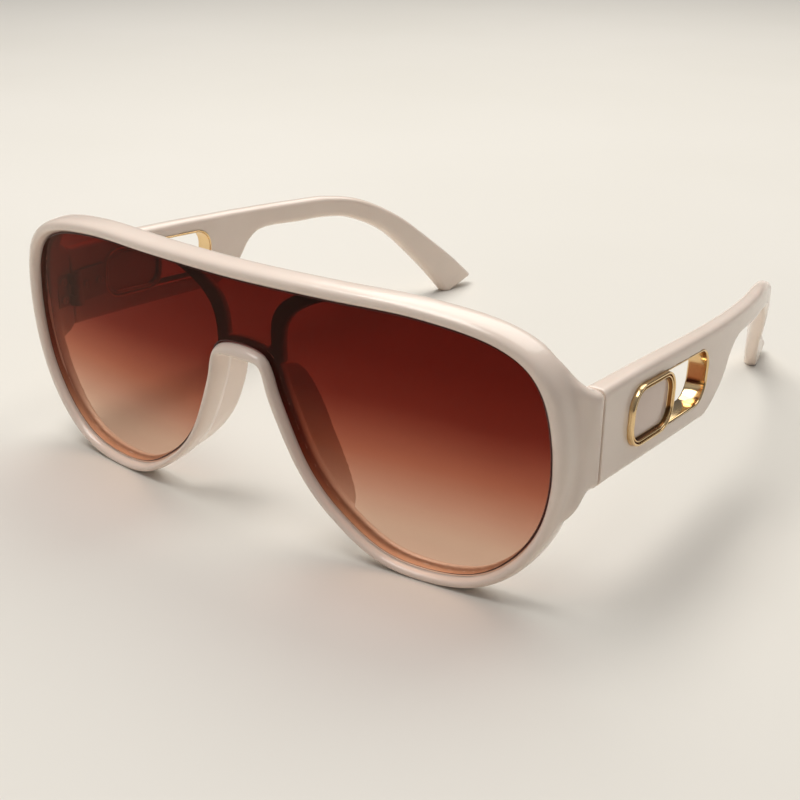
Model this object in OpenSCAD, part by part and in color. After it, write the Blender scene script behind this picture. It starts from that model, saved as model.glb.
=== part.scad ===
// Flat-top shield sunglasses with a moulded front, one curved lens and two folding arms.
// Left and right are the wearer's: left lies at +X, the lens looks along -Y, the table is at z = 0.

/* [Front] */
// Width of the lens window
window_w = 135; // [115:1:150]
// Height of the lens window
window_h = 51.4; // [42:0.2:58]
// Radius of the lens surface, seen from above
face_r = 389; // [200:1:600]
// Lean of the front, its top towards the viewer
face_lean = 3.1; // [0:0.1:8]
// Width of the rim round the lens
rim_w = 2.7; // [2.2:0.1:3.6]
// Height of the rim in front of the lens
rim_front = 1.8; // [1:0.1:3]
// Depth of the rim behind the lens surface
rim_rear = 4.2; // [3.6:0.1:6]
// Width of the ledge behind the lens
ledge_w = 0.9; // [0.7:0.1:2]
// Thickness of the lens
lens_t = 2; // [1.4:0.1:2.4]
// Gap all round the lens edge
lens_gap = 0.15; // [0.05:0.05:0.3]
// Gap between the lens and the ledge
ledge_gap = 0.05; // [0.02:0.01:0.15]
// Depth by which the rim's lower edge is flattened where it stands
foot_bite = 0.4; // [0.3:0.05:0.6]

/* [Bridge and nose pads] */
// Width of each strut behind the lens
strut_w = 3.4; // [3:0.1:5]
// Depth of each strut
strut_d = 1.9; // [1.6:0.1:3]
// Distance of a strut behind the ledge's front
strut_back = 0.3; // [0.2:0.05:0.6]
// Distance of a strut's middle from the centre, at the nose
strut_low_x = 7.2; // [6:0.1:8.5]
// Distance of a strut's middle from the centre, at the brow
strut_high_x = 24.7; // [18:0.1:28]
// Distance from the window surface to the nose pad's rear edge
pad_reach = 11; // [8:0.2:14]
// Thickness of a nose pad
pad_t = 1.6; // [1.4:0.1:3]
// Sideways flare of a nose pad from front to rear
pad_flare = 0.2; // [0:0.1:5]

/* [Arms] */
// Distance of the arm's middle outside the window's edge, at the hinge
arm_out = 2.2; // [1.8:0.1:3]
// Distance from the lens centre back to the joint between front and arm
seam_y = 13; // [12:0.1:18]
// Gap of the joint between front and arm
seam_gap = 0.5; // [0.4:0.05:1]
// Length of the arm behind the joint
arm_len = 142.5; // [120:0.5:160]
// Height of the arm's top at the joint
arm_top_z = 42.8; // [36:0.2:50]
// Thickness of the arm at the joint
arm_t_front = 4.9; // [4:0.1:6]
// Thickness of the arm at its tip
arm_t_tip = 3.6; // [3:0.1:5]
// Outward bow of the arm
bow_out = 3.2; // [0:0.1:6]
// Inward bow of the arm's ear end
bow_in = 26.9; // [0:0.1:30]
// Rounding of the arm's edges
arm_round = 1.6; // [0.8:0.1:1.7]
// Angle by which the left arm stands in from square
stance_left = 2; // [0:0.5:3]
// Angle by which the right arm stands out from square
stance_right = 1; // [0:0.5:2]

/* [Slot and ring] */
// Distance from the joint to the ring's middle
ring_y = 19.7; // [18:0.1:24]
// Height of the ring's middle
ring_z = 33; // [30:0.1:36]
// Downward slope of the ring and slot
trim_slope = 4.7; // [0:0.1:8]
// Length of the ring
ring_len = 19; // [16:0.2:24]
// Height of the ring
ring_h = 12.2; // [9:0.1:13]
// Width of the ring's band
ring_band = 1.5; // [1:0.1:2]
// Corner radius of the ring
ring_r = 4.8; // [3:0.1:5]
// Height by which the ring stands out of the arm
ring_proud = 0.9; // [0.3:0.1:1.4]
// Place of the slot's rear end behind the joint, as a share of the arm's length
slot_end_share = 0.336; // [0.29:0.002:0.34]
// Wall of the slot's lining
liner_t = 0.6; // [0.4:0.05:1]
// Height by which the lining stands out of the arm
liner_proud = 0.15; // [0.05:0.05:0.3]
// Depth of the panel's face below the ring's top
panel_drop = 0.9; // [0.2:0.05:1.1]

/* [Hinges] */
// Height of the hinge's middle
hinge_z = 33.5; // [32:0.1:36]
// Distance of the hinge axis inside the arm's inner face
axis_in = 1.7; // [1.6:0.05:2.2]
// Radius of the knuckles
knuckle_r = 1.3; // [1:0.05:1.4]
// Height of all the knuckles together
knuckle_h = 7.6; // [6:0.1:9]
// Height of the middle knuckle
mid_knuckle_h = 2.5; // [2:0.1:3]
// Gap between two knuckles
knuckle_gap = 0.1; // [0.05:0.05:0.2]
// Thickness of a leaf
leaf_t = 1; // [0.8:0.05:1.1]
// Depth by which a leaf is let into the plastic
leaf_sink = 0.5; // [0.3:0.05:0.6]
// Length of the leaf on the front, from the axis
front_leaf_len = 4.6; // [4:0.1:5]
// Gap between the leaf on the arm and the ring
leaf_ring_gap = 0.5; // [0.3:0.1:2]
// Clearance round a leaf in its pocket
leaf_gap = 0.1; // [0.05:0.05:0.2]
// Distance of the leaves' edges from the axis
leaf_start = 1.45; // [1.4:0.05:1.6]
// Radius of the hinge pin
pin_r = 0.6; // [0.5:0.05:0.7]
// Running clearance round the pin
pin_gap = 0.05; // [0.02:0.01:0.1]
// Radius of the hinge pin's head
pin_head_r = 1.15; // [1:0.05:1.3]
// Height of the hinge pin's head
pin_head_h = 0.6; // [0.4:0.05:0.8]
// Radius of a leaf screw's shank
screw_r = 0.5; // [0.4:0.05:0.6]
// Clearance round a leaf screw
screw_gap = 0.05; // [0.02:0.01:0.1]
// Radius of a leaf screw's head
screw_head_r = 0.95; // [0.8:0.05:1.1]
// Height of a leaf screw's head
screw_head_h = 0.4; // [0.3:0.05:0.5]
// Length of a leaf screw below its head
screw_len = 3; // [2:0.1:3.2]
// Height between the front leaf's screws
front_screw_gap = 4.4; // [3.6:0.1:5]
// Distance of the front leaf's screws from the axis
front_screw_y = 3; // [2.6:0.1:3.4]
// Distance of the arm leaf's first screw from the axis
arm_screw_y = 4; // [3:0.1:5]
// Distance of the arm leaf's second screw from the leaf's end
screw_edge = 1.8; // [1.3:0.1:2.4]
// Width of the slot in a screw head
drive_w = 0.3; // [0.2:0.05:0.4]
// Depth of the slot in a screw head
drive_d = 0.2; // [0.1:0.05:0.25]

/* [View] */
// Piece to draw

/* [Hidden] */
$fn = 64;

// Half of the window's outline, from the middle of the brow round to the middle of the nose arch,
// as shares of half the width and of the height
window_shares = [[0, 0.996], [0.32, 1], [0.618, 1], [0.853, 0.946], [0.964, 0.817], [1, 0.554],
                 [0.97, 0.3], [0.87, 0.101], [0.726, 0], [0.51, 0], [0.344, 0.119], [0.227, 0.285],
                 [0.141, 0.533], [0.111, 0.66], [0.083, 0.708], [0, 0.725]];
// Width and depth of the rim at these points, as shares of rim_w and rim_rear
rim_w_shares = [1.12, 1.09, 1.06, 1.08, 1.15, 1.08, 0.98, 0.9, 0.78, 0.72, 0.62, 0.63, 0.78, 0.68, 0.82, 1.1];
// Width of the rim where it stands, and the dip of the window's curve below its lowest points
foot_share = 0.76;
dip_share = 0.0138;
rim_rear_shares = [1, 1.05, 1.15, 1.3, 1.3, 1.15, 1.05, 0.95, 0.92, 0.92, 0.92, 0.95, 0.95, 0.95, 0.95, 0.95];
window_steps = 3;
rim_facets = 7;
rim_power = 0.77;
front_turn = -150;
rear_turn = 62;
crest_share = 0.62;
rear_edge_share = 0.35;
crest_depth_share = 0.97;
ledge_slope_share = 0.85;
corner_share = 0.45;

// Pairs of points along the arm's lower and upper edge: shares of arm_len behind the joint and of arm_top_z
arm_low_shares = [[0, 0.562], [0.118, 0.534], [0.244, 0.503], [0.307, 0.486], [0.347, 0.48], [0.404, 0.573],
                  [0.439, 0.7], [0.482, 0.75], [0.575, 0.727], [0.635, 0.716], [0.705, 0.672],
                  [0.787, 0.532], [0.86, 0.291], [0.937, -0.018]];
arm_high_shares = [[0, 1.009], [0.118, 0.99], [0.244, 0.959], [0.307, 0.942], [0.345, 0.931],
                   [0.402, 0.917], [0.44, 0.906], [0.482, 0.895], [0.575, 0.871], [0.651, 0.849],
                   [0.736, 0.78], [0.826, 0.616], [0.912, 0.373], [1.019, 0.067]];
arm_steps = 3;
// The inward bow grows with this power of the way along the arm and straightens again near the tip
bow_power = 3.5;
straight_share = 0.884;
straight_rate_share = 12.7;
taper_power = 0.35;

// The origin lies below the middle of the whole part, so the front is drawn this far forward
window_z = rim_w * foot_share + window_h * dip_share - foot_bite;
front_most = rim_front + (window_z + window_h + rim_w) * sin(face_lean);
seat_d = lens_t + ledge_gap;
arm_x = window_w / 2 + arm_out;
axis_x = arm_x - arm_t_front / 2 - axis_in;
arm_start_y = seam_y + seam_gap / 2;
tip_y = arm_start_y + arm_len * arm_high_shares[len(arm_high_shares) - 1][0];
mid_y = (tip_y + (bow_in - bow_out) * sin(stance_right) - front_most) / 2;
front_end_y = seam_y - seam_gap / 2;

// Sections of the endpiece from the rim to the joint: share of front_end_y, then for the inner lower, outer
// lower, outer upper and inner upper corner the place across the arm's thickness and the height, as shares
// of arm_t_front and arm_top_z
end_shares = [[0.49, 0.1, 0.566, 0.2, -0.514, 0.432, 0.459, 1.016, 1.157],
              [0.61, 0.2, 0.792, 0.52, -0.382, 0.442, 0.512, 1.028, 1.171],
              [0.745, 0.2, 0.833, 0.89, -0.287, 0.465, 0.556, 1.019, 1.099],
              [0.88, 0.08, 0.9, 1.03, -0.187, 0.51, 0.577, 1.007, 1.042],
              [1, 0, 1, 1, 0, 0.555, 0.562, 1.009, 1.011]];
strut_low_share = 0.67;
strut_high_share = 1.015;
strut_power = 4;
strut_flare_share = 1.9;
strut_steps = 10;
end_steps = 2;
// A nose pad runs from one to the other of these points of the window's outline
pad_first = 30;
pad_last = 39;
corner_steps = 3;

// Smooth curve through points: p[i] at t = 0, p[i + 1] at t = 1
function between(a, b, c, d, t) =
    (2 * b + (c - a) * t + (2 * a - 5 * b + 4 * c - d) * t * t + (3 * b - a - 3 * c + d) * t * t * t) / 2;
function closed_curve(p, steps) =
    let (n = len(p))
    [for (i = [0 : n - 1]) for (k = [0 : steps - 1])
        between(p[(i + n - 1) % n], p[i], p[(i + 1) % n], p[(i + 2) % n], k / steps)];
function open_curve(p, steps) =
    let (n = len(p))
    concat([for (i = [0 : n - 2]) for (k = [0 : steps - 1])
        between(p[max(i - 1, 0)], p[i], p[i + 1], p[min(i + 2, n - 1)], k / steps)], [p[n - 1]]);
function unit(v) = v / norm(v);
function signed_pow(v, e) = sign(v) * pow(abs(v), e);
function mix(a, b, t) = a + (b - a) * t;
function backwards(p) = [for (i = [len(p) - 1 : -1 : 0]) p[i]];

// Depth of the window surface at a distance x from the centre
function sag(x) = face_r - sqrt(face_r * face_r - x * x);

// The window's whole outline, each entry [x, z, rim width, rim depth]
function window_half() =
    [for (i = [0 : len(window_shares) - 1])
        [window_shares[i][0] * window_w / 2, window_z + window_shares[i][1] * window_h,
         rim_w_shares[i] * rim_w, rim_rear_shares[i] * rim_rear]];
function window_loop() =
    let (h = window_half(), n = len(h))
    closed_curve(concat(h, [for (i = [n - 2 : -1 : 1]) [-h[i][0], h[i][1], h[i][2], h[i][3]]]), window_steps);
function outward(p, i) =
    let (n = len(p), a = p[(i + n - 1) % n], b = p[(i + 1) % n], t = unit([b[0] - a[0], b[1] - a[1]]))
    [-t[1], t[0]];
function moved_out(p, d) = [for (i = [0 : len(p) - 1]) [p[i][0], p[i][1]] + outward(p, i) * d];

// One cross-section of the rim, [distance out of the window, depth behind its surface];
// pad is 0 where there is no nose pad and 1 at a pad's full depth
function rim_section(w, rear, pad) =
    let (mid = (rear - rim_front) / 2, half = (rear + rim_front) / 2,
         tip = rear + pad * (pad_reach - rear), aside = -pad * pad_flare,
         arc = [for (k = [0 : rim_facets]) let (a = mix(front_turn, rear_turn, k / rim_facets))
             [w / 2 * (1 + signed_pow(cos(a), rim_power)), mid + half * signed_pow(sin(a), rim_power)]])
    concat([[0, arc[0][1]]], arc,
           [[w * mix(crest_share, rear_edge_share, pad) + aside + pad * pad_t / 2,
             mix(rear, tip, crest_depth_share)],
            [w * rear_edge_share + aside - pad * pad_t / 2, tip],
            [-ledge_w / 4, rear], [-ledge_w, mix(seat_d, rear, ledge_slope_share)],
            [-ledge_w, seat_d], [0, seat_d]]);
function pad_amount(i, n) =
    let (k = min(i, n - i), t = (k - pad_first) / (pad_last - pad_first))
    t > 0 && t < 1 ? sqrt(sin(180 * t)) : 0;
function rim_rings() =
    let (p = window_loop(), n = len(p))
    [for (i = [0 : n - 1]) let (o = outward(p, i))
        [for (s = rim_section(p[i][2], p[i][3], pad_amount(i, n)))
            let (x = p[i][0] + o[0] * s[0], z = p[i][1] + o[1] * s[0]) [x, sag(x) + s[1], z]]];

// A skin over rings of points; closed rings run round a loop, open ones get two end faces
module skin(rings, closed) {
    m = len(rings[0]);
    n = len(rings);
    last = closed ? n - 1 : n - 2;
    sides = [for (i = [0 : last]) for (j = [0 : m - 1])
        [i * m + j, i * m + (j + 1) % m, ((i + 1) % n) * m + (j + 1) % m, ((i + 1) % n) * m + j]];
    ends = closed ? [] : [[for (j = [m - 1 : -1 : 0]) j], [for (j = [0 : m - 1]) (n - 1) * m + j]];
    polyhedron(points = [for (r = rings) each r], faces = concat(sides, ends), convexity = 8);
}

// A ring with rounded corners between a lower point a and an upper point b, both [y, z]
function corner_ring(a, b, x_in, x_out, r) =
    let (h = norm(b - a), up = (b - a) / h)
    [for (q = [0 : 3]) for (k = [0 : corner_steps])
        let (turn = 90 * (q - 1 + k / corner_steps),
             cx = q < 2 ? x_out - r : x_in + r,
             cb = q == 1 || q == 2 ? h - r : r,
             p = a + up * (cb + r * sin(turn)))
        [cx + r * cos(turn), p[0], p[1]]];

// Sideways place of the arm's middle, and its thickness, at a distance y
function arm_share(y) = max(0, (y - seam_y) / arm_len);
function bow_share(s) = pow(s, bow_power) - straight_rate_share * pow(max(0, s - straight_share), 2);
function arm_mid(y) = arm_x + bow_out * arm_share(y) - bow_in * bow_share(arm_share(y));
function arm_t(y) = mix(arm_t_front, arm_t_tip, pow(arm_share(y), taper_power));

function arm_points(shares) = [for (s = shares) [arm_start_y + s[0] * arm_len, s[1] * arm_top_z]];
function arm_rings() =
    let (low = open_curve(arm_points(arm_low_shares), arm_steps),
         high = open_curve(arm_points(arm_high_shares), arm_steps))
    [for (i = [0 : len(low) - 1])
        let (t = arm_t((low[i][0] + high[i][0]) / 2))
        [for (p = corner_ring(low[i], high[i], -t / 2, t / 2, min(arm_round, t * corner_share)))
            [arm_mid(p[1]) + p[0], p[1], p[2]]]];
// A rounded section between four corners, its rounding as shares of its width and height
function end_ring(s, y) =
    let (x = [for (k = [1 : 4]) arm_x - arm_t_front / 2 + s[k] * arm_t_front],
         z = [for (k = [5 : 8]) s[k] * arm_top_z],
         r = [min(arm_round / arm_t_front, corner_share), arm_round / (z[3] - z[0])])
    [for (q = [0 : 3]) for (k = [0 : corner_steps])
        let (turn = 90 * (q - 1 + k / corner_steps),
             u = (q < 2 ? 1 - r[0] : r[0]) + r[0] * cos(turn),
             v = (q == 1 || q == 2 ? 1 - r[1] : r[1]) + r[1] * sin(turn))
        [mix(mix(x[0], x[1], u), mix(x[3], x[2], u), v), y, mix(mix(z[0], z[1], u), mix(z[3], z[2], u), v)]];
function end_rings() = [for (s = open_curve(end_shares, end_steps)) end_ring(s, s[0] * front_end_y)];
function strut_edge(side) =
    [for (i = [0 : strut_steps])
        let (t = i / strut_steps, half = strut_w / 2 * (1 + strut_flare_share * pow(t, 3)))
        [mix(strut_low_x, strut_high_x, pow(t, strut_power)) + side * half,
         window_z + window_h * mix(strut_low_share, strut_high_share, t)]];

module mirrored(side) {
    if (side < 0) mirror([1, 0, 0]) children();
    else children();
}
// Everything is drawn with the lens centre at y = 0 and then moved so that the origin is the part's middle
module shifted() translate([0, -mid_y, 0]) children();
module leaned() rotate([face_lean, 0, 0]) children();
module on_front(side) shifted() mirrored(side) children();
module on_arm(side) {
    turn = side > 0 ? stance_left : -stance_right;
    shifted() mirrored(side) translate([axis_x, seam_y, 0]) rotate([0, 0, turn])
        translate([-axis_x, -seam_y, 0]) children();
}
module at_axis() translate([axis_x, seam_y, hinge_z]) children();
// A flat shape in [y, z] drawn out along x
module slab(x0, x1) translate([x0, 0, 0]) rotate([90, 0, 90]) linear_extrude(x1 - x0) children();
module rounded_box_2d(l, h, r) {
    square([l - 2 * r, h], center = true);
    square([l, h - 2 * r], center = true);
    for (a = [-1, 1]) for (b = [-1, 1]) translate([a * (l / 2 - r), b * (h / 2 - r)]) circle(r);
}
module box_between(a, b) translate(a) cube(b - a);

// Hinge leaves
screw_bed = axis_in + leaf_sink - leaf_t;
knuckle_top = mid_knuckle_h / 2;
arm_leaf_len = ring_y - ring_len / 2 - leaf_ring_gap;
arm_screw_gap = arm_leaf_len - screw_edge - arm_screw_y;
module leaf_pocket(from, to)
    box_between([-2 * knuckle_r, from, -knuckle_h / 2 - leaf_gap],
                [axis_in + leaf_sink, to, knuckle_h / 2 + leaf_gap]);
module knuckle(from, to) translate([0, 0, from]) cylinder(r = knuckle_r, h = to - from);
module leaf_screw(y, z) translate([screw_bed, y, z]) rotate([0, 90, 0]) {
    difference() {
        translate([0, 0, -screw_head_h]) cylinder(r = screw_head_r, h = screw_head_h);
        translate([-screw_head_r, -drive_w / 2, -screw_head_h - drive_d])
            cube([2 * screw_head_r, drive_w, 2 * drive_d]);
    }
    cylinder(r = screw_r, h = screw_len);
}
module leaf_screw_hole(y, z, deep) translate([0, y, z]) rotate([0, 90, 0])
    cylinder(r = screw_r + screw_gap, h = deep);
module pin_hole() translate([0, 0, -knuckle_h]) cylinder(r = pin_r + pin_gap, h = 2 * knuckle_h);
module front_screw_places()
    for (z = [-front_screw_gap / 2, front_screw_gap / 2]) translate([0, 0, z]) children();
module arm_screw_places() for (i = [0, 1]) translate([0, i * arm_screw_gap, 0]) children();

module front_leaf() difference() {
    union() {
        box_between([screw_bed, -front_leaf_len, -knuckle_h / 2],
                    [axis_in + leaf_sink, -leaf_start, knuckle_h / 2]);
        for (s = [[-knuckle_h / 2, -knuckle_top - knuckle_gap], [knuckle_top + knuckle_gap, knuckle_h / 2]]) {
            knuckle(s[0], s[1]);
            box_between([0, -leaf_start, s[0]], [axis_in - seam_gap / 2, 0, s[1]]);
        }
    }
    pin_hole();
    front_screw_places() leaf_screw_hole(-front_screw_y, 0, axis_in * 2);
}
module arm_leaf() difference() {
    union() {
        box_between([screw_bed, leaf_start, -knuckle_h / 2],
                    [axis_in + leaf_sink, arm_leaf_len, knuckle_h / 2]);
        knuckle(-knuckle_top, knuckle_top);
        box_between([0, 0, -knuckle_top], [axis_in - seam_gap / 2, leaf_start, knuckle_top]);
    }
    pin_hole();
    arm_screw_places() leaf_screw_hole(arm_screw_y, 0, axis_in * 2);
}
module hinge_pin() {
    translate([0, 0, -knuckle_h / 2]) cylinder(r = pin_r, h = knuckle_h);
    difference() {
        translate([0, 0, knuckle_h / 2]) cylinder(r = pin_head_r, h = pin_head_h);
        translate([-pin_head_r, -drive_w / 2, knuckle_h / 2 + pin_head_h - drive_d])
            cube([2 * pin_head_r, drive_w, 2 * drive_d]);
    }
}

// Ring, slot and panel
trim_y = seam_y + ring_y;
slot_all = slot_end_share * arm_len - ring_y;
trim_out = arm_mid(trim_y) + arm_t(trim_y) / 2;
trim_in = arm_mid(trim_y) - arm_t(trim_y) / 2;
module at_trim() translate([0, trim_y, ring_z]) rotate([-trim_slope, 0, 0]) children();
module ring_shape() rounded_box_2d(ring_len, ring_h, ring_r);
module window_in_ring() rounded_box_2d(ring_len - 2 * ring_band, ring_h - 2 * ring_band, ring_r - ring_band);
module slot_shape(inset) translate([slot_all / 2, 0])
    rounded_box_2d(slot_all - 2 * inset, ring_h - 2 * inset, ring_r - inset);
module slot_liner() at_trim() slab(trim_in - liner_proud, trim_out + liner_proud) difference() {
    slot_shape(0);
    slot_shape(liner_t);
    ring_shape();
}
module accent_ring() at_trim() slab(trim_in - ring_proud, trim_out + ring_proud) difference() {
    ring_shape();
    window_in_ring();
}
module accent_panel() at_trim()
    slab(trim_in - ring_proud + panel_drop, trim_out + ring_proud - panel_drop) window_in_ring();

module arm_body() difference() {
    skin(arm_rings(), false);
    at_trim() slab(trim_in - arm_t_front, trim_out + arm_t_front) {
        ring_shape();
        slot_shape(0);
    }
    at_axis() leaf_pocket(leaf_start - leaf_gap, arm_leaf_len + leaf_gap);
    at_axis() arm_screw_places() leaf_screw_hole(arm_screw_y, 0, screw_bed + screw_len + screw_gap);
    box_between([-window_w, 0, -arm_top_z], [window_w, 2 * arm_len, 0]);
}
module front_body() difference() {
    union() {
        leaned() {
            skin(rim_rings(), true);
            for (side = [-1, 1]) mirrored(side)
                curved_plate(seat_d + strut_back, seat_d + strut_back + strut_d)
                    polygon(concat(strut_edge(-1), backwards(strut_edge(1))));
        }
        for (side = [-1, 1]) mirrored(side) skin(end_rings(), false);
    }
    for (side = [-1, 1]) mirrored(side) at_axis() {
        leaf_pocket(-front_leaf_len - leaf_gap, seam_gap);
        front_screw_places() leaf_screw_hole(-front_screw_y, 0, screw_bed + screw_len + screw_gap);
    }
    box_between([-window_w, -window_w, -arm_top_z], [window_w, window_w, 0]);
}
// A flat shape in [x, z] bent to the curve of the face, between two depths behind the window surface
module curved_plate(d0, d1) intersection() {
    translate([0, window_h / 2, 0]) rotate([90, 0, 0]) linear_extrude(window_h) children();
    translate([0, face_r, 0]) difference() {
        cylinder(r = face_r - d0, h = 2 * window_h);
        translate([0, 0, -window_h]) cylinder(r = face_r - d1, h = 4 * window_h);
    }
}
module lens_body() leaned() curved_plate(0, lens_t) polygon(moved_out(window_loop(), -lens_gap));

module front_frame() color([0.93, 0.84, 0.78]) shifted() front_body();
module shield_lens() color([0.45, 0.2, 0.16, 0.6]) shifted() lens_body();
module temple_left() color([0.93, 0.84, 0.78]) on_arm(1) arm_body();
module temple_right() color([0.93, 0.84, 0.78]) on_arm(-1) arm_body();
module slot_liner_left() color([0.83, 0.63, 0.3]) on_arm(1) slot_liner();
module slot_liner_right() color([0.83, 0.63, 0.3]) on_arm(-1) slot_liner();
module accent_ring_left() color([0.83, 0.63, 0.3]) on_arm(1) accent_ring();
module accent_ring_right() color([0.83, 0.63, 0.3]) on_arm(-1) accent_ring();
module accent_panel_left() color([0.93, 0.84, 0.78]) on_arm(1) accent_panel();
module accent_panel_right() color([0.93, 0.84, 0.78]) on_arm(-1) accent_panel();
module hinge_front_leaf_left() color([0.7, 0.68, 0.65]) on_front(1) at_axis() front_leaf();
module hinge_front_leaf_right() color([0.7, 0.68, 0.65]) on_front(-1) at_axis() front_leaf();
module hinge_arm_leaf_left() color([0.7, 0.68, 0.65]) on_arm(1) at_axis() arm_leaf();
module hinge_arm_leaf_right() color([0.7, 0.68, 0.65]) on_arm(-1) at_axis() arm_leaf();
module hinge_pin_left() color([0.7, 0.68, 0.65]) on_front(1) at_axis() hinge_pin();
module hinge_pin_right() color([0.7, 0.68, 0.65]) on_front(-1) at_axis() hinge_pin();
module front_leaf_screws_left() color([0.7, 0.68, 0.65]) on_front(1) at_axis()
    front_screw_places() leaf_screw(-front_screw_y, 0);
module front_leaf_screws_right() color([0.7, 0.68, 0.65]) on_front(-1) at_axis()
    front_screw_places() leaf_screw(-front_screw_y, 0);
module arm_leaf_screws_left() color([0.7, 0.68, 0.65]) on_arm(1) at_axis()
    arm_screw_places() leaf_screw(arm_screw_y, 0);
module arm_leaf_screws_right() color([0.7, 0.68, 0.65]) on_arm(-1) at_axis()
    arm_screw_places() leaf_screw(arm_screw_y, 0);

front_frame();
shield_lens();
temple_left();
temple_right();
slot_liner_left();
slot_liner_right();
accent_ring_left();
accent_ring_right();
accent_panel_left();
accent_panel_right();
hinge_front_leaf_left();
hinge_front_leaf_right();
hinge_arm_leaf_left();
hinge_arm_leaf_right();
hinge_pin_left();
hinge_pin_right();
front_leaf_screws_left();
front_leaf_screws_right();
arm_leaf_screws_left();
arm_leaf_screws_right();
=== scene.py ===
import math

import bmesh
import bpy
import numpy as np
from mathutils import Matrix, Vector
from mathutils.geometry import delaunay_2d_cdt


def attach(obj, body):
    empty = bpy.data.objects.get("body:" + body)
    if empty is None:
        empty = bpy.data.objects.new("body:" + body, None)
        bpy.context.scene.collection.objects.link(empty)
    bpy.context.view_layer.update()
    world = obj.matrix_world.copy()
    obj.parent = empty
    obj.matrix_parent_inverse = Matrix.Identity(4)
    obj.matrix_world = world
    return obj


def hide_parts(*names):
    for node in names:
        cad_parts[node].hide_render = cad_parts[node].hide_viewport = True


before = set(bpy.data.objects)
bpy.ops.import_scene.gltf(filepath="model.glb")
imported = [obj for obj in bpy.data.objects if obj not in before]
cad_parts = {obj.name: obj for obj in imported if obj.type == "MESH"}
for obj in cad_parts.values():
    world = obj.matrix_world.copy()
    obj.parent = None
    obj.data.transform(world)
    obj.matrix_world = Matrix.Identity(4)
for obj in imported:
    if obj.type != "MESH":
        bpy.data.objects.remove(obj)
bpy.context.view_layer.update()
MM = 0.001

# Sizes in mm, as in the part's source
WINDOW_W, WINDOW_H = 135.0, 51.4
FACE_R, LEAN = 389.0, math.radians(3.1)
RIM_FRONT, RIM_REAR, LEDGE_W = 1.8, 4.2, 0.8
LENS_T, LENS_GAP, SEAT_D = 2.0, 0.15, 2.05
STRUT_W, STRUT_D, STRUT_BACK, STRUT_LOW, STRUT_HIGH = 3.4, 1.9, 0.3, 7.2, 24.7
PAD_REACH, PAD_T, PAD_FLARE = 11.0, 1.6, 0.2
ARM_X, SEAM_Y, SEAM_GAP, ARM_LEN, ARM_TOP = 69.7, 13.0, 0.5, 142.5, 42.8
ARM_T_FRONT, ARM_T_TIP, BOW_OUT, BOW_IN, ARM_ROUND = 4.9, 3.6, 3.2, 26.9, 1.6
STANCE = {1: math.radians(2.0), -1: math.radians(-1.0)}
RING_Y, RING_Z, SLOPE = 19.7, 33.0, math.radians(4.7)
RING_LEN, RING_H, RING_R, RING_BAND, RING_PROUD = 19.0, 12.2, 4.8, 1.5, 0.9
LINER_PROUD = 0.1
HINGE_Z, AXIS_IN, KNUCKLE_H = 33.5, 1.7, 7.6
LEAF_SINK, LEAF_GAP = 0.5, 0.1

# The rim is a trace thinner here than in the part, so that its rounded top stays inside the part's box
RIM_W = 2.68

# Outlines, from the middle of the brow round one side to the middle of the nose: shares of half WINDOW_W
# and of WINDOW_H, then for each of these points the shares of RIM_W and of RIM_REAR
WINDOW_SHARES = [[0, 0.996], [0.32, 1], [0.618, 1], [0.853, 0.946], [0.964, 0.817], [1, 0.554],
                 [0.97, 0.3], [0.87, 0.101], [0.726, 0], [0.51, 0], [0.344, 0.119], [0.227, 0.285],
                 [0.141, 0.533], [0.111, 0.66], [0.083, 0.708], [0, 0.725]]
RIM_W_SHARES = [1.12, 1.09, 1.06, 1.08, 1.15, 1.08, 0.98, 0.9, 0.78, 0.72, 0.62, 0.63, 0.78, 0.68, 0.82, 1.1]
RIM_REAR_SHARES = [1, 1.05, 1.15, 1.3, 1.3, 1.15, 1.05, 0.95, 0.92, 0.92, 0.92, 0.95, 0.95, 0.95, 0.95, 0.95]
# An arm's lower and upper edge: shares of ARM_LEN behind the joint and of ARM_TOP
ARM_LOW_SHARES = [[0, 0.562], [0.118, 0.534], [0.244, 0.503], [0.307, 0.486], [0.347, 0.48], [0.404, 0.573],
                  [0.439, 0.7], [0.482, 0.75], [0.575, 0.727], [0.635, 0.716], [0.705, 0.672],
                  [0.787, 0.532], [0.86, 0.291], [0.937, -0.018]]
ARM_HIGH_SHARES = [[0, 1.009], [0.118, 0.99], [0.244, 0.959], [0.307, 0.942], [0.345, 0.931],
                   [0.402, 0.917], [0.44, 0.906], [0.482, 0.895], [0.575, 0.871], [0.651, 0.849],
                   [0.736, 0.78], [0.826, 0.616], [0.912, 0.373], [1.019, 0.067]]
# The endpiece's sections: share of the way back to the joint, four corners across in shares of
# ARM_T_FRONT, and the same four corners up in shares of ARM_TOP
END_SHARES = [[0.49, 0.1, 0.566, 0.2, -0.514, 0.432, 0.459, 1.016, 1.157],
              [0.61, 0.2, 0.792, 0.52, -0.382, 0.442, 0.512, 1.028, 1.171],
              [0.745, 0.2, 0.833, 0.89, -0.287, 0.465, 0.556, 1.019, 1.099],
              [0.88, 0.08, 0.9, 1.03, -0.187, 0.51, 0.577, 1.007, 1.042],
              [1, 0, 1, 1, 0, 0.555, 0.562, 1.009, 1.011]]

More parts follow.
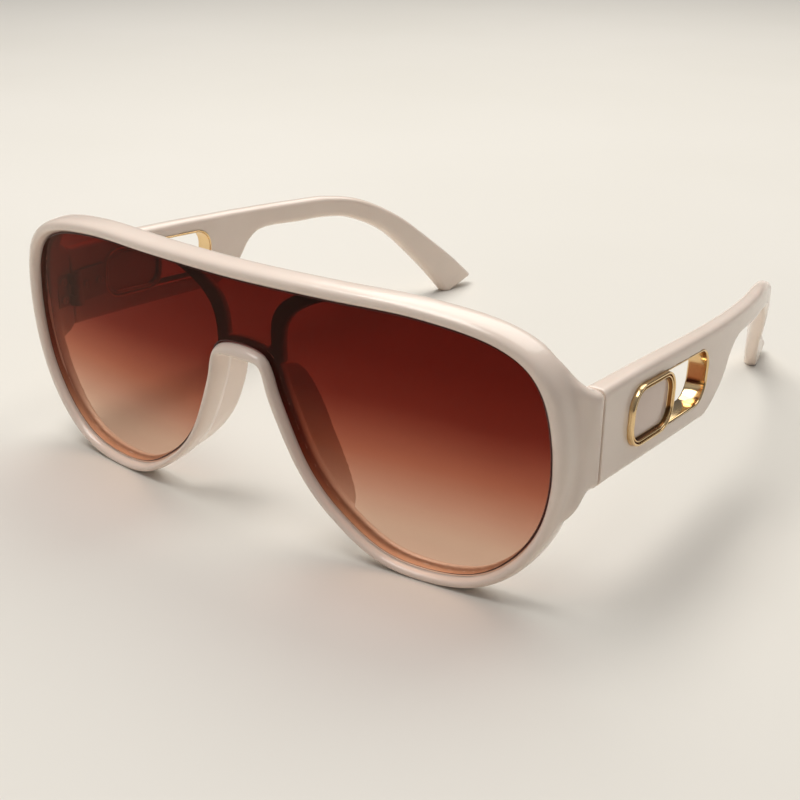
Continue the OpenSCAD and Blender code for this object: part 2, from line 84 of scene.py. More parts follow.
# Worked out: the lens's foot, the slot, the joint's faces and axis, and the y that lies in the frame's middle
FOOT_SHARE, DIP_SHARE, FOOT_BITE = 0.76, 0.0138, 0.4
WINDOW_Z = RIM_W * FOOT_SHARE + WINDOW_H * DIP_SHARE - FOOT_BITE
SLOT_END_SHARE = 0.336
SLOT_ALL = SLOT_END_SHARE * ARM_LEN - RING_Y
AXIS_X = ARM_X - ARM_T_FRONT / 2 - AXIS_IN
ARM_START = SEAM_Y + SEAM_GAP / 2
END_Y = SEAM_Y - SEAM_GAP / 2
TIP_Y = ARM_START + ARM_LEN * ARM_HIGH_SHARES[-1][0]
FRONT_MOST = RIM_FRONT + (WINDOW_Z + WINDOW_H + RIM_W) * math.sin(LEAN)
MID_Y = (TIP_Y - (BOW_IN - BOW_OUT) * math.sin(STANCE[-1]) - FRONT_MOST) / 2

# Rim: its rounded front as an arc in degrees, squared off by a power, then shares of its width and depth
RIM_STEPS, RIM_FACETS, RIM_ARC, RIM_POWER = 420, 20, (-150, 62), 0.77
REAR_OUT_SHARE, REAR_IN_SHARE, REAR_EDGE_SHARE = 0.62, 0.35, 0.97
LEDGE_SHARES = [(0.3, 1.0), (0.8, 0.7), (1.0, 0.35), (1.0, 0.0)]
CURVE_STEPS, LOOP_BLUR = 24, 0.9
# The nose pad begins at this point of the window's outline and spans this many
PAD_FIRST, PAD_SPAN = 10, 3

# Struts: how they bend and widen towards the brow
STRUT_SECTIONS, STRUT_FACETS, STRUT_SQUARE = 40, 20, 0.5
STRUT_LOW_SHARE, STRUT_HIGH_SHARE, STRUT_POWER = 0.67, 1.015, 4
STRUT_FLARE_SHARE, STRUT_FLARE_POWER = 1.9, 3

# Endpieces: past SEAM_SHARE their sections reach into the seam by SEAM_SKIN, which smoothing takes off again.
# The arm's first section does the same. On the right the arm opens too close to the seam for that
CORNER_STEPS, END_STEPS, SEAM_SHARE = 8, 10, 0.99
SEAM_SKIN = {1: 0.1, -1: 0.0}

# Where the rim runs into the endpieces: limits of the stretch that is evened out, each with its fade
SIDE_X, SIDE_FADE = 66.6, 1.2
CORNER_X, CORNER_X_FADE = 62.5, 1.5
CORNER_Y, CORNER_Y_FADE = 5.8, 1.0
EDGE_KEPT, EDGE_FADE = 0.9, 1.2
STRETCH_LOW, STRETCH_HIGH, STRETCH_FADE = 14.0, 55.0, 4.0
EVEN_ROUNDS, EVEN_SHARE, EVEN_REPEATS = 64, 0.6, 2

# Voxels, and the smoothing that takes their steps away
FRONT_VOXEL = 0.29
ARM_VOXEL = 0.24
SMOOTH_SHARE, SMOOTH_ROUNDS = 0.5, 5

# Cutting boxes: the table under the feet, and the hinge's pocket from and to a distance behind the seam
TABLE_HALF, TABLE_DEPTH = 90.0, 6.0
FRONT_TABLE, ARM_TABLE = (-30.0, 30.0), (0.0, 200.0)
POCKET_IN, FRONT_POCKET, ARM_POCKET = 2.6, (-4.7, 0.5), (1.35, 9.7)

# Lens: rows of its edge as (inwards, behind the face), and the grid of points that bends its faces
LENS_STEPS, LENS_BREAK = 300, 0.38
LENS_EDGE_ROWS = [(0.2, 0.06), (0.0, 0.32), (0.0, LENS_T - 0.2)]
# rows of the lens's edge that take painted shade
LENS_SHADE_ROWS = 2
GRID_HALF, GRID_TOP, GRID_STEP, GRID_CLEAR = 70.0, 60.0, 2.6, 1.2
CDT_INSIDE, CDT_NEAR = 1, 1e-6

# Arms: how they bow, thin out and end
OUTLINE_STEPS = 12
BOW_POWER, STRAIGHT_RATE, STRAIGHT_SHARE, TAPER_POWER = 3.5, 12.7, 0.884, 0.35
ROUND_SHARE, ROUND_LEAST = 0.45, 0.3
TIP_ROUND, TIP_STEPS = 1.0, 7

# Trim: what the holes for it lie inside its outline, and its profiles. The ring's is (inwards, down from
# its top), with an outer lip, a channel and an inner bead, the same on both faces. The liner's is its
# rolled lip as (inwards, in from its face), and the panel's its soft edge in the same way
TURN_STEPS, TOOL_OVER = 12, 5.0
ARM_HOLE_IN, LINER_HOLE_IN = 0.15, 0.1
RING_PROFILE = [(0.0, 1.2), (0.0, 0.2), (0.06, 0.06), (0.18, 0.0), (0.36, 0.0), (0.48, 0.07), (0.52, 0.25),
                (0.54, 0.7), (0.76, 0.7), (0.78, 0.3), (0.84, 0.14), (0.95, 0.1), (1.06, 0.14), (1.12, 0.3),
                (1.14, 0.9), (RING_BAND, 0.9), (RING_BAND, 1.2)]
# faces of the ring's profile that take the darker gold of painted shade
SHADED_ROWS = (6, 7, 8, 13, 14)
LINER_LIP = [(0.0, 0.1), (0.1, 0.0), (0.3, 0.0), (0.46, 0.16), (0.5, 0.4)]
PANEL_EDGE = [(0.35, 0.01), (0.12, 0.05), (0.0, 0.2)]
PANEL_ROUND_SHARE = 0.5


# Curves
def between(a, b, c, d, t):
    """The point at t on the smooth curve from b to c, with a before them and d after."""
    square = (2 * a - 5 * b + 4 * c - d) * t * t
    cube = (3 * b - a - 3 * c + d) * t ** 3
    return (2 * b + (c - a) * t + square + cube) / 2


def closed_curve(p, steps):
    p, n = np.asarray(p, float), len(p)
    return np.array([between(p[i - 1], p[i], p[(i + 1) % n], p[(i + 2) % n], k / steps)
                     for i in range(n) for k in range(steps)])


def open_curve(p, steps):
    p, n = np.asarray(p, float), len(p)
    out = [between(p[max(i - 1, 0)], p[i], p[i + 1], p[min(i + 2, n - 1)], k / steps)
           for i in range(n - 1) for k in range(steps)]
    return np.array(out + [p[-1]])


def mix(a, b, t):
    return a + (b - a) * t


def squared(t, power):
    """A sine or cosine drawn outwards, which makes a round section squarer."""
    return math.copysign(abs(t) ** power, t)


def sag(x):
    """Depth of the face's curve at a distance from the middle."""
    return FACE_R - np.sqrt(FACE_R ** 2 - np.asarray(x) ** 2)


def even_loop(p, count, blur):
    """A closed line resampled at equal steps, its small kinks taken out."""
    q = np.vstack([p, p[:1]])
    s = np.r_[0, np.cumsum(np.linalg.norm(np.diff(q[:, :2], axis=0), axis=1))]
    at = np.linspace(0, s[-1], count, endpoint=False)
    even = np.stack([np.interp(at, s, q[:, k]) for k in range(q.shape[1])], 1)
    sigma = blur / (s[-1] / count)
    k = np.arange(-int(4 * sigma) - 1, int(4 * sigma) + 2)
    w = np.exp(-k ** 2 / (2 * sigma ** 2))
    w /= w.sum()
    return sum(wi * np.roll(even, -ki, axis=0) for wi, ki in zip(w, k))


def left_of(p):
    """At each point of a closed line, the direction to the left of its run."""
    t = np.roll(p[:, :2], -1, axis=0) - np.roll(p[:, :2], 1, axis=0)
    t /= np.linalg.norm(t, axis=1)[:, None]
    return np.stack([-t[:, 1], t[:, 0]], 1)


def window_loop(count):
    """The window's outline as (x, z, rim's width, rim's rear depth, number of the point).

    It runs clockwise, so that its left is the way out of the window.
    """
    half = [[a * WINDOW_W / 2, WINDOW_Z + b * WINDOW_H, w * RIM_W, r * RIM_REAR, i]
            for i, ((a, b), w, r) in enumerate(zip(WINDOW_SHARES, RIM_W_SHARES, RIM_REAR_SHARES))]
    loop = half + [[-h[0]] + h[1:] for h in half[-2:0:-1]]
    return even_loop(closed_curve(loop, CURVE_STEPS), count, LOOP_BLUR)


def lean(v):
    """Leans the front back on its feet."""
    v = np.asarray(v, float)
    c, s = math.cos(LEAN), math.sin(LEAN)
    return np.stack([v[:, 0], v[:, 1] * c - v[:, 2] * s, v[:, 1] * s + v[:, 2] * c], 1)


def place(v, side=1, arm=False):
    """From the drawing's mm to the row frame's metres; an arm's points also get its stance."""
    v = np.array(v, float)
    if arm:
        c, s = math.cos(STANCE[side]), math.sin(STANCE[side])
        x, y = v[:, 0] - AXIS_X, v[:, 1] - SEAM_Y
        v[:, 0] = AXIS_X + x * c - y * s
        v[:, 1] = SEAM_Y + x * s + y * c
    v[:, 0] *= side
    v[:, 1] -= MID_Y
    return v * MM


# Meshes
def new_mesh(name, verts, faces, smooth=True):
    me = bpy.data.meshes.new(name)
    me.from_pydata([tuple(v) for v in verts], [], [tuple(f) for f in faces])
    me.validate()
    bm = bmesh.new()
    bm.from_mesh(me)
    bmesh.ops.recalc_face_normals(bm, faces=bm.faces)
    bm.to_mesh(me)
    bm.free()
    ob = bpy.data.objects.new(name, me)
    bpy.context.scene.collection.objects.link(ob)
    if smooth:
        me.shade_smooth()
    return ob


def skin(rings, closed=False):
    """The vertices and faces of a tube through rings of points: a closed loop, or capped at both ends."""
    rings = np.asarray(rings, float)
    n, m = rings.shape[:2]
    faces = []
    for i in range(n if closed else n - 1):
        for j in range(m):
            k = (j + 1) % m
            faces.append((i * m + j, i * m + k, (i + 1) % n * m + k, (i + 1) % n * m + j))
    if not closed:
        faces += [tuple(range(m - 1, -1, -1)), tuple((n - 1) * m + j for j in range(m))]
    return rings.reshape(-1, 3), faces


def joined(name, parts):
    """One mesh object of several tubes."""
    verts, faces = [], []
    for v, f in parts:
        base = sum(len(a) for a in verts)
        verts.append(np.asarray(v))
        faces += [tuple(base + i for i in q) for q in f]
    return new_mesh(name, np.vstack(verts), faces)


def apply_modifiers(ob):
    bpy.context.view_layer.update()
    deps = bpy.context.evaluated_depsgraph_get()
    me = bpy.data.meshes.new_from_object(ob.evaluated_get(deps), depsgraph=deps)
    old = ob.data
    ob.modifiers.clear()
    ob.data = me
    bpy.data.meshes.remove(old)


def remesh(ob, voxel):
    """Fuses overlapping forms into one skin and rounds the edges between them."""
    m = ob.modifiers.new("voxels", "REMESH")
    m.mode, m.voxel_size, m.use_smooth_shade = "VOXEL", voxel * MM, True
    s = ob.modifiers.new("smooth", "SMOOTH")
    s.factor, s.iterations = SMOOTH_SHARE, SMOOTH_ROUNDS
    apply_modifiers(ob)


def cut(ob, tool):
    m = ob.modifiers.new("cut", "BOOLEAN")
    m.operation, m.solver, m.object = "DIFFERENCE", "EXACT", tool
    apply_modifiers(ob)
    bpy.data.objects.remove(tool)


def relax(ob, where):
    """Evens out the surface round some points: where(co) gives a weight for each vertex."""
    me = ob.data
    co = np.empty(len(me.vertices) * 3)
    me.vertices.foreach_get("co", co)
    co = co.reshape(-1, 3)
    e = np.empty(len(me.edges) * 2, int)
    me.edges.foreach_get("vertices", e)
    e = e.reshape(-1, 2)
    w = where(co)[:, None]
    deg = np.maximum(np.bincount(e.ravel(), minlength=len(co)), 1)[:, None]

    def neighbours(c):
        return np.bincount(e[:, 0], c[e[:, 1]], len(c)) + np.bincount(e[:, 1], c[e[:, 0]], len(c))

    def evened(v):
        for _ in range(EVEN_ROUNDS):
            total = np.stack([neighbours(v[:, k]) for k in range(3)], 1)
            v = v + w * EVEN_SHARE * (total / deg - v)
        return v

    # what each pass takes off the large forms is put back by the next one
    out = evened(co)
    for _ in range(EVEN_REPEATS):
        out = out + evened(co - out)
    me.vertices.foreach_set("co", out.ravel())
    me.update()


def box_object(name, lo, hi, side=1, arm=False):
    corners = (np.array(lo, float), np.array(hi, float))
    v = [[corners[i][0], corners[j][1], corners[k][2]] for i in (0, 1) for j in (0, 1) for k in (0, 1)]
    f = [(0, 1, 3, 2), (4, 6, 7, 5), (0, 4, 5, 1), (2, 3, 7, 6), (0, 2, 6, 4), (1, 5, 7, 3)]
    return new_mesh(name, place(v, side, arm), f, smooth=False)


def table_box(y0, y1):
    return box_object("table", [-TABLE_HALF, y0, -TABLE_DEPTH], [TABLE_HALF, y1, 0])


def pocket_box(side, y0, y1, arm):
    """The room for the hinge's leaf and knuckles, from y0 to y1 behind the seam."""
    lo = [AXIS_X - POCKET_IN, SEAM_Y + y0, HINGE_Z - KNUCKLE_H / 2 - LEAF_GAP]
    hi = [AXIS_X + AXIS_IN + LEAF_SINK, SEAM_Y + y1, HINGE_Z + KNUCKLE_H / 2 + LEAF_GAP]
    return box_object("pocket", lo, hi, side, arm)


def finish_piece(ob, body, mat, node):
    ob.data.materials.clear()
    ob.data.materials.append(mat)
    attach(ob, body)
    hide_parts(node)


# Materials
class Nodes:
    """A node material, and short ways to add what this scene's materials share."""

    def __init__(self, name):
        self.mat = bpy.data.materials.new(name)
        self.mat.use_nodes = True
        self.tree = self.mat.node_tree
        self.bsdf = next(n for n in self.tree.nodes if n.type == "BSDF_PRINCIPLED")
        self.out = next(n for n in self.tree.nodes if n.type == "OUTPUT_MATERIAL")

    def add(self, kind):
        return self.tree.nodes.new(kind)

    def link(self, a, b):
        self.tree.links.new(a, b)

    def base(self, values):
        for name, value in values.items():
            self.bsdf.inputs[name].default_value = value

    def math(self, operation, a, b, c=None):
        """The result of two or three terms, each a number or another node's output."""
        m = self.add("ShaderNodeMath")
        m.operation = operation
        for term, socket in zip((a, b, c), m.inputs):
            if isinstance(term, float):
                socket.default_value = term
            elif term is not None:
                self.link(term, socket)
        return m.outputs[0]

    def noise(self, scale, detail, stretch=None):
        co = self.add("ShaderNodeTexCoord").outputs["Object"]
        if stretch:
            m = self.add("ShaderNodeMapping")
            m.inputs["Scale"].default_value = stretch
            self.link(co, m.inputs["Vector"])
            co = m.outputs[0]
        n = self.add("ShaderNodeTexNoise")
        n.inputs["Scale"].default_value = scale
        n.inputs["Detail"].default_value = detail
        self.link(co, n.inputs["Vector"])
        return n.outputs["Fac"]

    def ramp(self, fac, stops):
        node = self.add("ShaderNodeValToRGB")
        els = node.color_ramp.elements
        while len(els) < len(stops):
            els.new(0.5)
        for el, (pos, colour) in zip(els, stops):
            el.position, el.color = pos, (*colour, 1.0)
        self.link(fac, node.inputs["Fac"])
        return node.outputs["Color"]

    def span(self, fac, low, high):
        m = self.add("ShaderNodeMapRange")
        m.inputs["To Min"].default_value = low
        m.inputs["To Max"].default_value = high
        self.link(fac, m.inputs["Value"])
        return m.outputs["Result"]

    def cloudy(self, scale, detail, low, high):
        """Colours the base between two tones, in soft clouds."""
        colour = self.ramp(self.noise(scale, detail), [(0.3, low), (0.7, high)])
        self.link(colour, self.bsdf.inputs["Base Color"])

    def bump(self, height, strength, distance):
        b = self.add("ShaderNodeBump")
        b.inputs["Strength"].default_value = strength
        b.inputs["Distance"].default_value = distance
        self.link(height, b.inputs["Height"])
        self.link(b.outputs["Normal"], self.bsdf.inputs["Normal"])


def srgb(r, g, b):
    """An 8-bit screen colour as the linear values that nodes take."""
    return tuple(((c / 255 + 0.055) / 1.055) ** 2.4 if c > 10 else c / 255 / 12.92 for c in (r, g, b))


def plastic(name, low, high):
    """Gloss moulded plastic: a faint cloudy change of colour, flow ripple and fine scuffs in the shine."""
    n = Nodes(name)
    n.cloudy(scale=60, detail=4, low=low, high=high)
    scuffs = n.noise(scale=900, detail=5, stretch=(1, 0.35, 1))
    n.link(n.span(scuffs, low=0.15, high=0.27), n.bsdf.inputs["Roughness"])
    n.base({"IOR": 1.49, "Coat Weight": 0.25, "Coat Roughness": 0.16, "Subsurface Weight": 0.06,
            "Subsurface Radius": (1.0, 0.6, 0.45), "Subsurface Scale": 0.0012})
    n.bump(n.noise(scale=260, detail=2), strength=0.05, distance=0.0001)
    return n.mat


def metal(name, low, high, rough, brush, scale, relief=0.05):
    """Metal with a fine grain, which brush stretches along an axis."""
    n = Nodes(name)
    n.cloudy(scale=180, detail=5, low=low, high=high)
    n.base({"Metallic": 1.0})
    grain = n.noise(scale, detail=4, stretch=brush)
    n.link(n.span(grain, low=rough * 0.7, high=rough * 1.5), n.bsdf.inputs["Roughness"])
    n.bump(n.noise(scale * 1.5, detail=3, stretch=brush), relief, distance=0.00008)
    return n.mat


# The lens's tint by its height, as square roots of what the whole lens lets through, because light passes
# its two faces. TINT_TOP is in metres
TINT_TOP = 0.056
LENS_TINT = [(0.0, (0.92, 0.8, 0.72)), (0.2, (0.82, 0.68, 0.59)), (0.45, (0.6, 0.34, 0.26)),
             (0.65, (0.375, 0.12, 0.09)), (0.82, (0.31, 0.07, 0.05)), (1.0, (0.28, 0.055, 0.04))]


def tinted_lens(name):
    """Graded lens: what is behind it shows through a tint that runs from dark maroon to pale peach."""
    n = Nodes(name)
    sep = n.add("ShaderNodeSeparateXYZ")
    n.link(n.add("ShaderNodeTexCoord").outputs["Object"], sep.inputs[0])
    height = n.add("ShaderNodeMapRange")
    height.inputs["From Max"].default_value = TINT_TOP
    n.link(sep.outputs["Z"], height.inputs["Value"])
    # a trace of unevenness in the dye keeps the grade from looking printed
    uneven = n.math("MULTIPLY_ADD", n.noise(scale=35, detail=2), 0.05, height.outputs["Result"])
    clear = n.add("ShaderNodeBsdfTransparent")
    n.link(n.ramp(uneven, LENS_TINT), clear.inputs["Color"])
    gloss = n.add("ShaderNodeBsdfAnisotropic")
    gloss.inputs["Color"].default_value = (1.0, 0.62, 0.5, 1)
    n.link(n.span(n.noise(scale=700, detail=4), low=0.015, high=0.05), gloss.inputs["Roughness"])
    # only faces that are seen from outside shine
    fresnel = n.add("ShaderNodeFresnel")
    fresnel.inputs["IOR"].default_value = 1.22
    from_outside = n.math("SUBTRACT", 1.0, n.add("ShaderNodeNewGeometry").outputs["Backfacing"])
    shader = n.add("ShaderNodeMixShader")
    n.link(n.math("MULTIPLY", fresnel.outputs[0], from_outside), shader.inputs[0])
    n.link(clear.outputs[0], shader.inputs[1])
    n.link(gloss.outputs[0], shader.inputs[2])
    n.link(shader.outputs[0], n.out.inputs["Surface"])
    n.tree.nodes.remove(n.bsdf)
    return n.mat


CREAM = plastic("blush_cream_plastic", srgb(238, 220, 205), srgb(243, 226, 212))
# a dark maroon on the lens's edge: painted shade in the gap between the lens and the rim
LENS_EDGE_SHADE_PLASTIC = plastic("lens_edge_painted_shade", srgb(58, 18, 12), srgb(74, 27, 19))
# the panel's plastic is the cream a shade darker: painted shade inside the raised ring
PANEL_SHADED_CREAM = plastic("panel_cream_painted_shade", srgb(226, 202, 187), srgb(231, 208, 194))
GOLD = metal("polished_gold", srgb(226, 192, 140), srgb(236, 205, 156),
             rough=0.14, brush=(1, 4, 1), scale=260)
# a darker gold, painted shade for the ring's channel and inner wall
GOLD_PAINTED_SHADE = metal("shaded_gold", srgb(122, 78, 38), srgb(146, 98, 54),
               rough=0.22, brush=(1, 4, 1), scale=260)
STEEL = metal("hinge_steel", srgb(150, 140, 132), srgb(172, 162, 152),
              rough=0.3, brush=(1, 1, 14), scale=900, relief=0.12)
SCREW = metal("screw_steel", srgb(165, 158, 150), srgb(185, 178, 170),
              rough=0.24, brush=None, scale=1400, relief=0.1)
LENS = tinted_lens("graded_lens")


# Front
def rim_section(w, rear, pad):
    """The rim's outline at one point as (out of the window, back), with a share of the nose pad."""
    mid, half = (rear - RIM_FRONT) / 2, (rear + RIM_FRONT) / 2
    tip, aside = rear + pad * (PAD_REACH - rear), -pad * PAD_FLARE
    arc = []
    for f in range(RIM_FACETS + 1):
        a = math.radians(mix(*RIM_ARC, f / RIM_FACETS))
        arc.append([w / 2 * (1 + squared(math.cos(a), RIM_POWER)),
                    mid + half * squared(math.sin(a), RIM_POWER)])
    back = [[w * mix(REAR_OUT_SHARE, REAR_IN_SHARE, pad) + aside + pad * PAD_T / 2,
             mix(rear, tip, REAR_EDGE_SHARE)],
            [w * REAR_IN_SHARE + aside - pad * PAD_T / 2, tip]]
    ledge = [[-LEDGE_W * a, mix(SEAT_D, rear, b)] for a, b in LEDGE_SHARES]
    return [[0, arc[0][1]]] + arc + back + ledge + [[0, SEAT_D]]


def rim_parts():
    line = window_loop(RIM_STEPS)
    rings = []
    for (x0, z0, w, rear, point), o in zip(line, left_of(line)):
        t = (point - PAD_FIRST) / PAD_SPAN
        pad = math.sqrt(math.sin(math.pi * t)) if 0 < t < 1 else 0.0
        ring = []
        for out, back in rim_section(w, rear, pad):
            x, z = x0 + o[0] * out, z0 + o[1] * out
            ring.append([x, sag(x) + back, z])
        rings.append(ring)
    v, f = skin(rings, closed=True)
    return lean(v), f


def corner_turns():
    """The angles round four rounded corners, each with the number of its corner."""
    return [(q, math.radians(90 * (q - 1 + k / CORNER_STEPS)))
            for q in range(4) for k in range(CORNER_STEPS + 1)]


def end_parts(side):
    """The endpiece: rounded four-cornered sections from inside the rim to the joint."""
    rings = []
    for s in open_curve(END_SHARES, END_STEPS):
        y = s[0] * END_Y + (SEAM_SKIN[side] if s[0] > SEAM_SHARE else 0)
        x = ARM_X + ARM_T_FRONT * (s[1:5] - 0.5)
        z = s[5:9] * ARM_TOP
        ru, rv = ARM_ROUND / ARM_T_FRONT, ARM_ROUND / (z[3] - z[0])
        ring = []
        for q, t in corner_turns():
            u = (1 - ru if q < 2 else ru) + ru * math.cos(t)
            v = (1 - rv if q in (1, 2) else rv) + rv * math.sin(t)
            ring.append([mix(mix(x[0], x[1], u), mix(x[3], x[2], u), v), y,
                         mix(mix(z[0], z[1], u), mix(z[3], z[2], u), v)])
        rings.append(ring)
    v, f = skin(rings)
    return v * [side, 1, 1], f


def strut_parts(side):
    """A bar behind the lens, bent to its curve, with rounded edges."""
    rings = []
    for t in np.linspace(0, 1, STRUT_SECTIONS):
        x = mix(STRUT_LOW, STRUT_HIGH, t ** STRUT_POWER)
        z = WINDOW_Z + WINDOW_H * mix(STRUT_LOW_SHARE, STRUT_HIGH_SHARE, t)
        half = STRUT_W / 2 * (1 + STRUT_FLARE_SHARE * t ** STRUT_FLARE_POWER)
        ring = []
        for a in np.linspace(0, 2 * math.pi, STRUT_FACETS, endpoint=False):
            across = x + squared(math.cos(a), STRUT_SQUARE) * half
            back = SEAT_D + STRUT_BACK + STRUT_D / 2 + squared(math.sin(a), STRUT_SQUARE) * STRUT_D / 2
            ring.append([side * across, sag(across) + back, z])
        rings.append(ring)
    v, f = skin(rings)
    return lean(v), f


def near_joint(co):
    """Where the rim runs into the endpieces, away from the joint's own edge and from the lens's seat."""
    def fade(t, span):
        return np.clip(t / span, 0, 1)

    x, y, z = np.abs(co[:, 0]) / MM, co[:, 1] / MM + MID_Y, co[:, 2] / MM
    corner = fade(x - CORNER_X, CORNER_X_FADE) * fade(y - CORNER_Y, CORNER_Y_FADE)
    w = np.maximum(fade(x - SIDE_X, SIDE_FADE), corner)
    w = w * fade(END_Y - EDGE_KEPT - y, EDGE_FADE)
    return w * fade(z - STRETCH_LOW, STRETCH_FADE) * fade(STRETCH_HIGH - z, STRETCH_FADE)


def front_object():
    parts = [rim_parts()] + [end_parts(s) for s in (1, -1)] + [strut_parts(s) for s in (1, -1)]
    front = joined("front_moulding", [(place(v), f) for v, f in parts])
    remesh(front, FRONT_VOXEL)
    relax(front, near_joint)
    cut(front, table_box(*FRONT_TABLE))
    for s in (1, -1):
        cut(front, pocket_box(s, *FRONT_POCKET, False))
    finish_piece(front, "front", CREAM, "front_frame")


# Lens
def inside(line, x, z):
    """Whether a point is inside a closed line, by the count of crossings beyond it."""
    (x0, z0), (x1, z1) = np.roll(line, 1, axis=0).T, line.T
    c = (z1 > z) != (z0 > z)
    crossings = (x0[c] - x1[c]) * (z - z1[c]) / (z0[c] - z1[c]) + x1[c]
    return np.count_nonzero(x < crossings) % 2 == 1


def grid_inside(line):
    """Points in staggered rows inside a closed line, clear of its edge."""
    grid = []
    for gx in np.arange(-GRID_HALF, GRID_HALF, GRID_STEP):
        for k, z in enumerate(np.arange(0, GRID_TOP, GRID_STEP)):
            x = gx + (GRID_STEP / 2 if k % 2 else 0)
            if inside(line, x, z) and np.linalg.norm(line - [x, z], axis=1).min() > GRID_CLEAR:
                grid.append((x, z))
    return grid


def on_face(line, depth):
    """Points of (x, z) on the lens's curve, at a depth behind its face."""
    return np.stack([line[:, 0], sag(line[:, 0]) + depth, line[:, 1]], 1)


def lens_object():
    p = window_loop(LENS_STEPS)
    n = len(p)

    def inwards(distance):
        return p[:, :2] - left_of(p) * (LENS_GAP + distance)

    rim_line = inwards(LENS_BREAK)
    points = [Vector(q) for q in (*rim_line, *grid_inside(rim_line))]
    edges = [(i, (i + 1) % n) for i in range(n)]
    cdt = delaunay_2d_cdt(points, edges, [list(range(n))], CDT_INSIDE, CDT_NEAR)
    flat = np.array([tuple(q) for q in cdt[0]])
    tris = [tuple(t) for t in cdt[2]]
    m = len(flat)
    verts = [on_face(flat, 0), on_face(flat, LENS_T)]
    faces = tris + [tuple(m + i for i in t[::-1]) for t in tris]
    first_edge = len(faces)
    # the edge: a chamfer at the front, a straight land, a small break at the rear
    verts += [on_face(inwards(inset), depth) for inset, depth in LENS_EDGE_ROWS]
    starts = [0] + [2 * m + n * k for k in range(len(LENS_EDGE_ROWS))] + [m]
    for a, b in zip(starts[:-1], starts[1:]):
        for i in range(n):
            j = (i + 1) % n
            faces.append((a + i, a + j, b + j, b + i))
    lens = new_mesh("graded_lens", place(lean(np.vstack(verts))), faces)
    finish_piece(lens, "front", LENS, "shield_lens")
    # the front rows of the edge take the dark maroon of painted shade
    lens.data.materials.append(LENS_EDGE_SHADE_PLASTIC)
    for q in lens.data.polygons:
        q.material_index = 1 if first_edge <= q.index < first_edge + LENS_SHADE_ROWS * n else 0


# Arms
def arm_share(y):
    return max(0.0, (y - SEAM_Y) / ARM_LEN)


def arm_mid(y):
    """Sideways place of the arm's middle: out a little, then in along a curve that straightens at the tip."""
    s = arm_share(y)
    return ARM_X + BOW_OUT * s - BOW_IN * (s ** BOW_POWER - STRAIGHT_RATE * max(0.0, s - STRAIGHT_SHARE) ** 2)


def arm_t(y):
    return mix(ARM_T_FRONT, ARM_T_TIP, arm_share(y) ** TAPER_POWER)


TRIM_Y = SEAM_Y + RING_Y
TRIM_OUT = arm_mid(TRIM_Y) + arm_t(TRIM_Y) / 2
TRIM_IN = arm_mid(TRIM_Y) - arm_t(TRIM_Y) / 2


def arm_ring(a, b, inset):
    """A rounded section of the arm between a point of its lower edge and one of its upper edge."""
    half = arm_t((a[0] + b[0]) / 2) / 2
    height = np.linalg.norm(b - a)
    up = (b - a) / height
    low, high = a + up * inset, b - up * inset
    r = max(min(ARM_ROUND, half * 2 * ROUND_SHARE) - inset, ROUND_LEAST)
    ring = []
    for q, t in corner_turns():
        across = (half - inset - r if q < 2 else inset - half + r) + r * math.cos(t)
        end, way = (high, -r) if q in (1, 2) else (low, r)
        y, z = end + up * (way + r * math.sin(t))
        ring.append([arm_mid(y) + across, y, z])
    return ring


def arm_parts(side):
    low = open_curve([[ARM_START + a * ARM_LEN, b * ARM_TOP] for a, b in ARM_LOW_SHARES], OUTLINE_STEPS)
    high = open_curve([[ARM_START + a * ARM_LEN, b * ARM_TOP] for a, b in ARM_HIGH_SHARES], OUTLINE_STEPS)
    mids = (low + high) / 2
    back = np.linalg.norm(mids - mids[-1], axis=1)
    rings = [arm_ring(a, b, 0.0) for a, b, d in zip(low, high, back) if d > TIP_ROUND]
    rings[0] = [[q[0], q[1] - SEAM_SKIN[side], q[2]] for q in rings[0]]
    # the tip's end is rounded off all round
    for u in np.linspace(0, math.pi / 2, TIP_STEPS):
        at = TIP_ROUND * (1 - math.sin(u))
        ends = [np.array([np.interp(-at, -back, line[:, k]) for k in (0, 1)]) for line in (low, high)]
        rings.append(arm_ring(*ends, TIP_ROUND * (1 - math.cos(u))))
    return skin(rings)


def rounded(length, height, r):
    """Corner-rounded rectangle round the origin, in (along, up)."""
    out = []
    for q, (a, b) in enumerate([(1, 1), (-1, 1), (-1, -1), (1, -1)]):
        for k in range(TURN_STEPS + 1):
            t = math.radians(90 * (q + k / TURN_STEPS))
            out.append([a * (length / 2 - r) + r * math.cos(t), b * (height / 2 - r) + r * math.sin(t)])
    return np.array(out)


def ring_line(inset):
    return rounded(RING_LEN - 2 * inset, RING_H - 2 * inset, RING_R - inset)


def slot_line(inset):
    return rounded(SLOT_ALL - 2 * inset, RING_H - 2 * inset, RING_R - inset) + [SLOT_ALL / 2, 0]


def panel_line(inset):
    edge = RING_BAND + inset
    return rounded(RING_LEN - 2 * edge, RING_H - 2 * edge, RING_R - RING_BAND - inset * PANEL_ROUND_SHARE)


def at_trim(x, uv):
    """Points at a depth x and (along, up) from the ring's middle, on the ring's slope."""
    c, s = math.cos(SLOPE), math.sin(SLOPE)
    y = TRIM_Y + uv[:, 0] * c + uv[:, 1] * s
    z = RING_Z - uv[:, 0] * s + uv[:, 1] * c
    return np.stack([np.broadcast_to(x, y.shape), y, z], 1)


def arm_mesh(name, side, tube):
    v, f = tube
    return new_mesh(name, place(v, side, True), f)


def hole_tool(line, side):
    """A prism right through the arm, to cut a hole of this outline."""
    ends = [at_trim(TRIM_IN - TOOL_OVER, line), at_trim(TRIM_OUT + TOOL_OVER, line)]
    return arm_mesh("tool", side, skin(ends))


def swept(line, profile):
    """A closed profile of (inwards, x) carried round a line of (along, up), which runs anticlockwise."""
    rings = [at_trim(x, line + left_of(line) * d) for d, x in profile]
    return skin(np.swapaxes(rings, 0, 1), closed=True)


